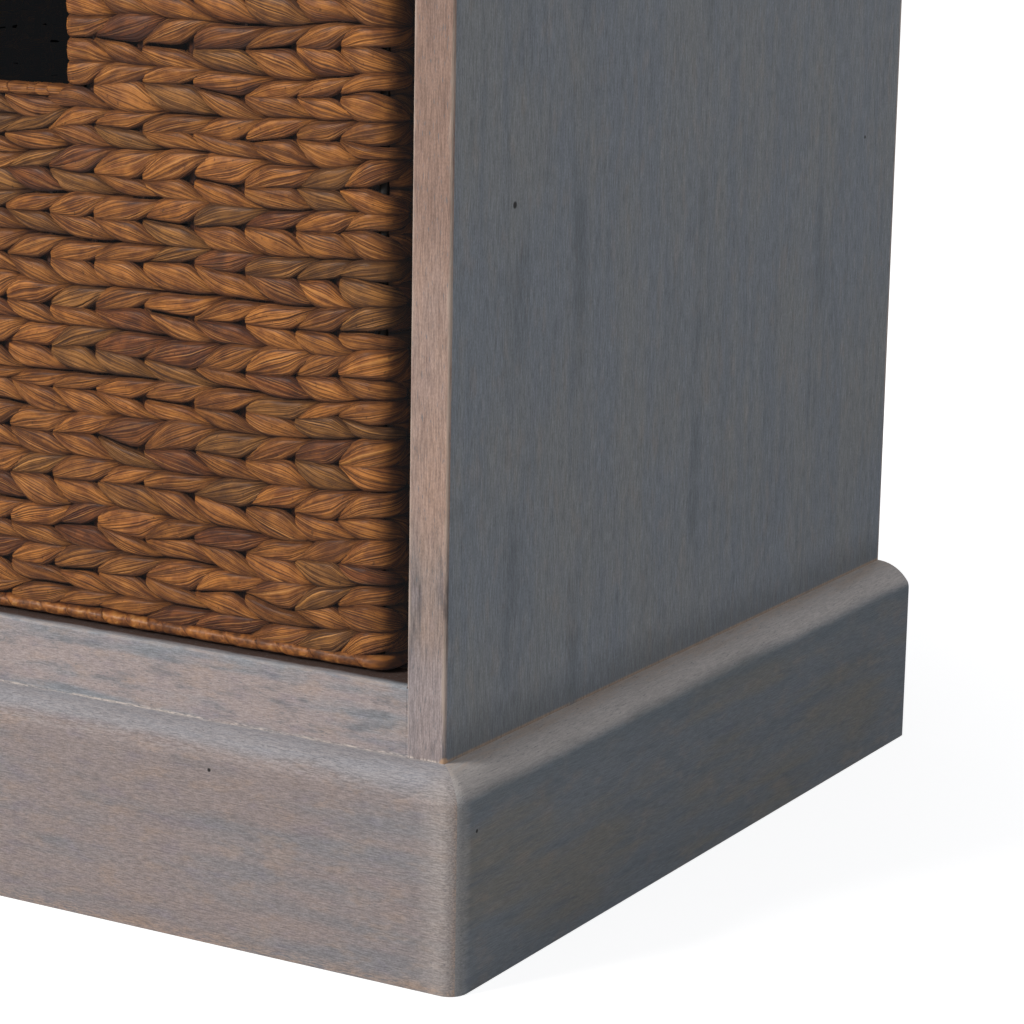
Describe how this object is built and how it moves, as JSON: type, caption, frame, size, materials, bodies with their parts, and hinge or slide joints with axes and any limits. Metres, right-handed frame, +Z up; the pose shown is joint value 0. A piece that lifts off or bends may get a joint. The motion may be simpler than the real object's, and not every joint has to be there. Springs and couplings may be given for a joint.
{
  "type": "basket storage cabinet",
  "caption": "Open wooden storage cabinet on a moulded plinth, with bays one above the other that each hold a woven basket on a steel frame with a hand hole.",
  "frame": {"origin": "on the floor, at the centre of the whole cabinet's footprint", "axes": "+Z up; the baskets face -Y; +X is the cabinet's right-hand side seen from the front"},
  "size_m": [0.471, 0.3894, 0.7671],
  "materials": {
    "washed_wood": "matte",
    "back_board": "matte",
    "woven_fibre": "satin",
    "wrapped_fibre": "satin",
    "frame_steel": "satin"
  },
  "bodies": {
    "carcass": {"side_panel_right": "washed_wood", "side_panel_left": "washed_wood", "bottom_board": "washed_wood", "middle_shelf": "washed_wood", "back_panel": "back_board", "top_board": "washed_wood", "plinth_front": "washed_wood", "plinth_right": "washed_wood", "plinth_left": "washed_wood", "plinth_corner_block_right": "washed_wood", "plinth_corner_block_left": "washed_wood", "bottom_front_rail": "washed_wood", "shelf_front_rail": "washed_wood", "top_front_rail": "washed_wood", "top_rear_rail": "washed_wood", "plinth_rear_rail": "washed_wood"},
    "lower_basket": {"lower_basket_steel_frame": "frame_steel", "lower_basket_woven_walls": "woven_fibre", "lower_basket_woven_base": "woven_fibre", "lower_basket_foot_binding": "wrapped_fibre", "lower_basket_rim_binding": "wrapped_fibre", "lower_basket_hand_hole_binding": "wrapped_fibre"},
    "upper_basket": {"upper_basket_steel_frame": "frame_steel", "upper_basket_woven_walls": "woven_fibre", "upper_basket_woven_base": "woven_fibre", "upper_basket_foot_binding": "wrapped_fibre", "upper_basket_rim_binding": "wrapped_fibre", "upper_basket_hand_hole_binding": "wrapped_fibre"}
  },
  "joints": [
    {"name": "lower_basket_slide", "type": "slide", "parent": "carcass", "child": "lower_basket", "axis": [0, -1, 0], "range_m": [0, 0.34]},
    {"name": "upper_basket_slide", "type": "slide", "parent": "carcass", "child": "upper_basket", "axis": [0, -1, 0], "range_m": [0, 0.34]}
  ]
}
